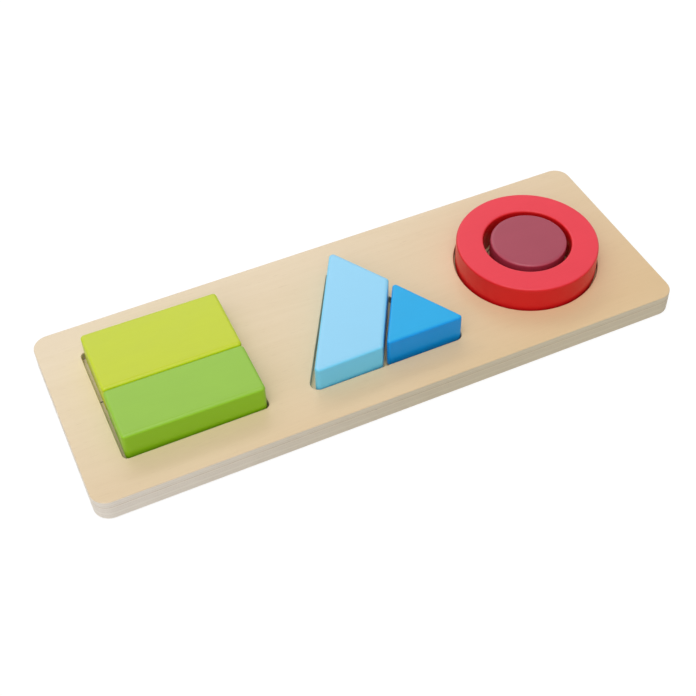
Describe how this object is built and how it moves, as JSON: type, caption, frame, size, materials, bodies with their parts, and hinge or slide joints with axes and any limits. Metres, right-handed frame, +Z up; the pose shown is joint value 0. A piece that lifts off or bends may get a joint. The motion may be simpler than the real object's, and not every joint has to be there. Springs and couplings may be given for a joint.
{
  "type": "shape puzzle",
  "caption": "Wooden toddler puzzle: a rectangular plywood board with square, triangular and round recesses, each filled by two painted blocks that lift out.",
  "frame": {"origin": "middle of the board's underside, on the surface that it lies on", "axes": "+X along the board from the square recess to the round one, +Y to its back edge, where the triangle's apex points, +Z up out of the recesses"},
  "size_m": [0.2994, 0.109, 0.025],
  "materials": {
    "bare_plywood": "clear satin lacquer over pale plywood, plies showing on the edges",
    "yellow_paint": "yellow-green satin paint on wood",
    "green_paint": "green satin paint on wood",
    "light_blue_paint": "light blue satin paint on wood",
    "blue_paint": "blue satin paint on wood",
    "red_paint": "red satin paint on wood",
    "maroon_paint": "maroon satin paint on wood"
  },
  "bodies": {
    "board": {"base_panel": "bare_plywood", "cut_out_panel": "bare_plywood"},
    "yellow_rectangle": {"yellow_rectangle": "yellow_paint"},
    "green_rectangle": {"green_rectangle": "green_paint"},
    "light_blue_trapezoid": {"light_blue_trapezoid": "light_blue_paint"},
    "blue_triangle": {"blue_triangle": "blue_paint"},
    "red_ring": {"red_ring": "red_paint"},
    "maroon_disc": {"maroon_disc": "maroon_paint"}
  },
  "joints": [
    {"name": "yellow_rectangle_lift", "type": "slide", "parent": "board", "child": "yellow_rectangle", "axis": [0, 0, 1], "range_m": [0, 0.03]},
    {"name": "green_rectangle_lift", "type": "slide", "parent": "board", "child": "green_rectangle", "axis": [0, 0, 1], "range_m": [0, 0.03]},
    {"name": "light_blue_trapezoid_lift", "type": "slide", "parent": "board", "child": "light_blue_trapezoid", "axis": [0, 0, 1], "range_m": [0, 0.03]},
    {"name": "blue_triangle_lift", "type": "slide", "parent": "board", "child": "blue_triangle", "axis": [0, 0, 1], "range_m": [0, 0.03]},
    {"name": "red_ring_lift", "type": "slide", "parent": "board", "child": "red_ring", "axis": [0, 0, 1], "range_m": [0, 0.03]},
    {"name": "maroon_disc_lift", "type": "slide", "parent": "board", "child": "maroon_disc", "axis": [0, 0, 1], "range_m": [0, 0.03]}
  ]
}
